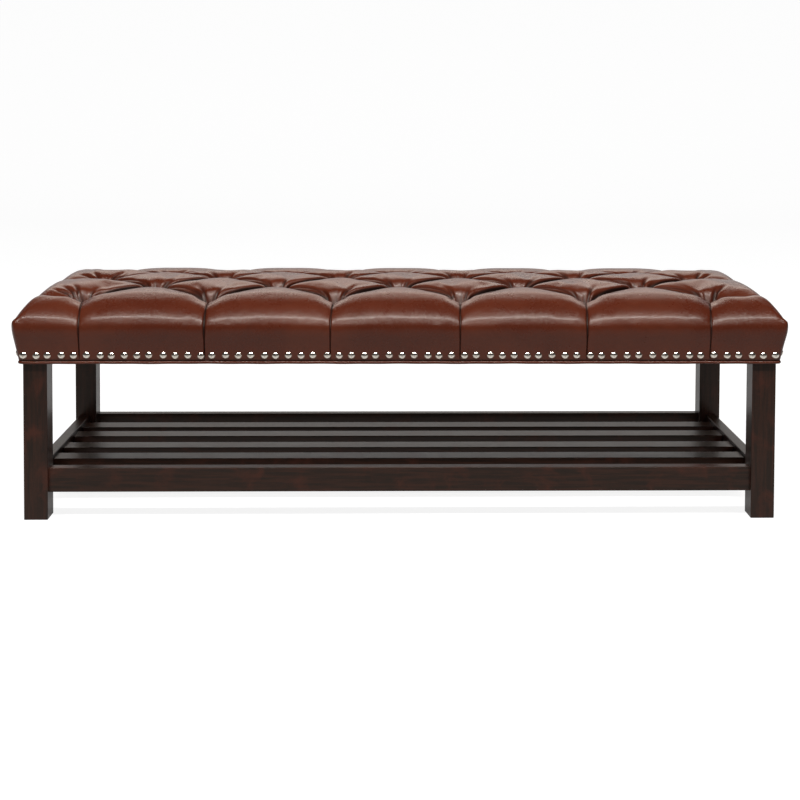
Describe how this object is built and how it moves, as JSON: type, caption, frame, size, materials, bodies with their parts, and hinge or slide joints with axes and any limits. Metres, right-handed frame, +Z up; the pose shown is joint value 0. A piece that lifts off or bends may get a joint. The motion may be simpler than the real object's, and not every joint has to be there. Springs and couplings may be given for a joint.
{
  "type": "upholstered bench",
  "caption": "Long low bench with a diamond-tufted leather seat edged with domed nails, on square dark wooden legs joined by a slatted shelf near the floor.",
  "frame": {"origin": "on the floor under the middle of the bench", "axes": "+X along the bench, to the right as seen from the front, front face towards -Y, +Z up"},
  "size_m": [1.524, 0.543, 0.451],
  "materials": {
    "leather": "antiqued, semi-gloss",
    "stained_wood": "dark stained, satin lacquer",
    "softwood": "planed, raw",
    "plywood": "raw sheet",
    "beech": "raw, fluted",
    "nail_metal": "warm nickel, polished",
    "zinc_steel": "zinc plated",
    "foam": "open-cell foam",
    "wadding": "fibre wadding",
    "dust_cloth": "non-woven black cloth",
    "twine": "waxed twine"
  },
  "bodies": {
    "root": {"leg_front_left": "stained_wood", "corner_block_front_left": "softwood", "leg_front_right": "stained_wood", "corner_block_front_right": "softwood", "leg_back_right": "stained_wood", "corner_block_back_right": "softwood", "leg_back_left": "stained_wood", "corner_block_back_left": "softwood", "shelf_rail_front": "stained_wood", "seat_rail_front": "softwood", "nailheads_front": "nail_metal", "shelf_rail_back": "stained_wood", "seat_rail_back": "softwood", "nailheads_back": "nail_metal", "shelf_rail_left": "stained_wood", "seat_rail_left": "softwood", "nailheads_left": "nail_metal", "shelf_rail_right": "stained_wood", "seat_rail_right": "softwood", "nailheads_right": "nail_metal", "shelf_slat_1": "stained_wood", "shelf_slat_2": "stained_wood", "shelf_slat_3": "stained_wood", "shelf_slat_4": "stained_wood", "shelf_cleat_left": "stained_wood", "cross_rail_left": "softwood", "shelf_cleat_right": "stained_wood", "cross_rail_right": "softwood", "deck_board": "plywood", "dust_cover": "dust_cloth", "leather_cover": "leather", "foam_pad": "foam", "side_wadding": "wadding", "welt": "leather", "tuft_buttons": "leather", "tuft_twines": "twine", "twine_toggles": "beech", "rail_dowels": "beech", "leg_bolts": "zinc_steel", "leg_washers": "zinc_steel", "leg_inserts": "zinc_steel", "slat_screws": "zinc_steel", "cleat_screws": "zinc_steel", "seat_box_screws": "zinc_steel", "deck_screws": "zinc_steel", "dust_cover_staples": "zinc_steel"}
  },
  "joints": []
}
